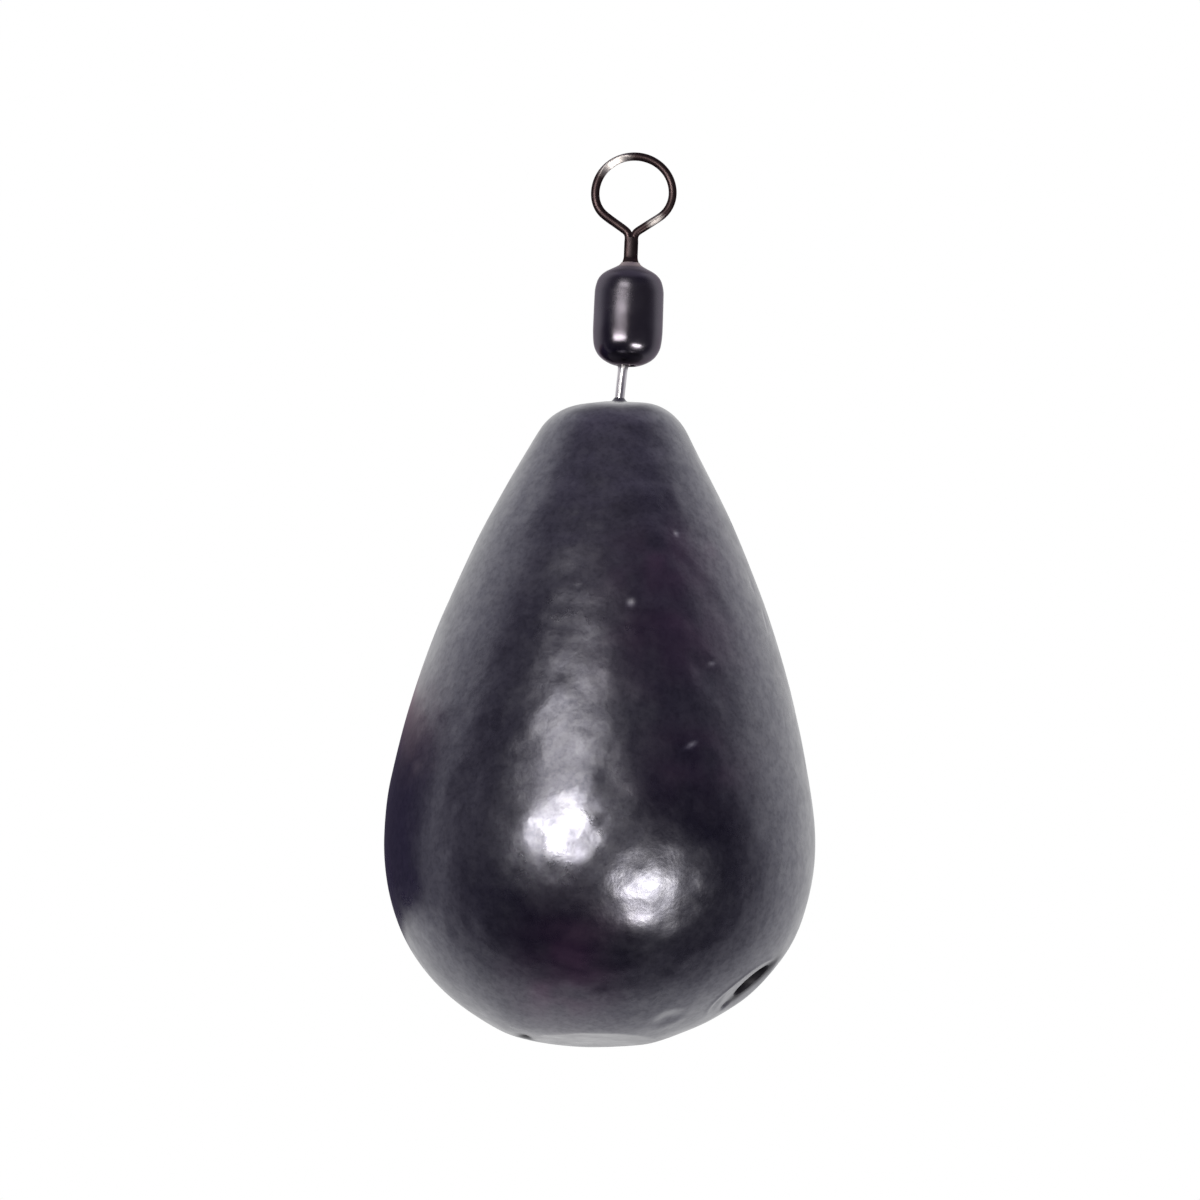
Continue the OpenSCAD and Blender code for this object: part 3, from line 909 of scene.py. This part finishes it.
def softbox(name, azimuth, elevation, width, height, radiance, dist=1.1, round_one=False, on=None):
    """An area light seen in that direction from the lead, or from the middle of the group that it is
    kept to, its size in degrees."""
    w, h = 2 * dist * math.tan(rad(width / 2)), 2 * dist * math.tan(rad(height / 2))
    light = bpy.data.lights.new(name, "AREA")
    light.shape = "ELLIPSE" if round_one else "RECTANGLE"
    light.size, light.size_y = w, h
    area = w * h * (math.pi / 4 if round_one else 1)
    light.energy = radiance * math.pi * area
    light.color = LAMP_COLOR
    ob = bpy.data.objects.new(name, light)
    center = Vector((0, 0, (on[1] if on else belly_z) * MM))
    if on:
        ob.light_linking.receiver_collection = on[0]
    way = direction(azimuth, elevation)
    ob.location = center + way * dist
    ob.rotation_mode = "QUATERNION"
    ob.rotation_quaternion = way.to_track_quat("Z", "Y")
    ob.visible_camera = False
    bpy.context.scene.collection.objects.link(ob)


def flag_shade(across, up):
    """Colour that the card glows with: dark, with a pink upper edge and a light streak near its front
    end, seen as reflections on the lead.
    """
    top = min(1, max(0, (up - 0.74) / 0.26)) ** 1.5 * min(1, max(0, (across - 0.1) / 0.25))
    streak = math.exp(-((across - 0.03) / 0.022) ** 2)
    dark = np.array([0.043, 0.033, 0.078]) * (1 + 0.6 * math.exp(-((across - 0.25) / 0.15) ** 2))
    pink = np.array([0.56, 0.39, 0.45])
    color = dark + (pink - dark) * top + 0.6 * streak
    return (*color, 1)


def make_flag():
    """A dark curved card low on the left that glows with its own colour, seen only in glossy
    reflections. Its sizes are in millimetres and degrees."""
    r, rows, cols = 35.0, 24, 60
    verts, shades = [], []
    for j in range(rows):
        for i in range(cols):
            up, across = j / (rows - 1), i / (cols - 1)
            a = rad(-84 - 11 * (1 - up) - 78 * across)
            lo, hi = -48.5 + 12.0 * across, -15.5 - 6.0 * across
            verts.append((r * math.sin(a), -r * math.cos(a), lo + (hi - lo) * j / (rows - 1)))
            shades.append(flag_shade(across, up))
    me = bpy.data.meshes.new("studio_flag")
    me.from_pydata((np.array(verts) * MM).tolist(), [], grid_faces(rows, cols, False))
    at = me.attributes.new("shade", "FLOAT_COLOR", "POINT")
    at.data.foreach_set("color", np.array(shades, np.float32).ravel())
    m, nt, glow = new_material("flag_glow", "ShaderNodeEmission")
    shade = node(nt, "ShaderNodeAttribute", attribute_name="shade").outputs["Color"]
    nt.links.new(shade, glow.inputs["Color"])
    me.materials.append(m)
    ob = bpy.data.objects.new("studio_flag", me)
    bpy.context.scene.collection.objects.link(ob)
    ob.visible_camera = ob.visible_diffuse = ob.visible_shadow = ob.visible_transmission = False


CAM_ELEVATION = -6.0
CAM_ROLL = 2.25
CAM_DIST = 0.7
SENSOR_MM = 36
# Width of the picture at the object, and the point in its middle, in millimetres
FRAME_MM = 61.2
AIM = Vector((-0.88, 0.0, -20.98))


def make_camera():
    back = direction(0, CAM_ELEVATION)
    right = Vector((1, 0, 0))
    up = back.cross(right)
    r = rad(CAM_ROLL)
    cam_right = right * math.cos(r) + up * math.sin(r)
    cam_up = up * math.cos(r) - right * math.sin(r)
    cam = bpy.data.cameras.new("camera")
    cam.sensor_width = SENSOR_MM
    cam.lens = SENSOR_MM * CAM_DIST / (FRAME_MM * MM)
    cam.clip_start, cam.clip_end = 0.01, 10
    ob = bpy.data.objects.new("camera", cam)
    m = Matrix((cam_right, cam_up, back)).transposed().to_4x4()
    m.translation = AIM * MM + back * CAM_DIST
    ob.matrix_world = m
    bpy.context.scene.collection.objects.link(ob)
    bpy.context.scene.camera = ob


make_floor()
make_world()
SWIVEL_MID = (barrel_top + barrel_base) / 2
ON_LEAD = group("lit_lead", [lead], belly_z)
ON_BARREL = group("lit_barrel", [shell], SWIVEL_MID)
ON_WIRE = group("lit_wire", [upper_wire, lower_wire], SWIVEL_MID)
ON_SWIVEL = group("lit_swivel", [shell, upper_wire, lower_wire], SWIVEL_MID)
# Name, azimuth, elevation, width and height in degrees, radiance, distance, round or not, group
softbox("key_left", -21.5, -0.5, 21, 14, 20, 0.3, True, ON_LEAD)
softbox("key_left_top", -15, 9, 9, 14, 15, 0.3, True, ON_LEAD)
softbox("key_right", 30.5, -27, 17, 10, 28, 0.3, True, ON_LEAD)
softbox("fill_left", -20.5, 28.5, 30, 12, 3.7)
softbox("fill_right", 31, -28, 30, 16, 0.7, 0.3)
softbox("barrel_key", -28, -4.5, 46, 12, 12.5, 0.6, True, ON_BARREL)
softbox("barrel_key_right", 37, -33, 32, 12, 15, 0.6, True, ON_BARREL)
softbox("wire_key", -28, -4, 30, 10, 40, 0.6, True, ON_WIRE)
softbox("wire_key_right", 36, -33, 28, 9, 16, 0.6, True, ON_WIRE)
softbox("swivel_fill", -22, 18, 44, 26, 1.2, 1.1, True, ON_SWIVEL)
softbox("swivel_room", 40, 0, 90, 70, 0.07, 1.1, False, ON_SWIVEL)
make_flag()
make_camera()
bpy.context.scene.view_settings.view_transform = "Standard"
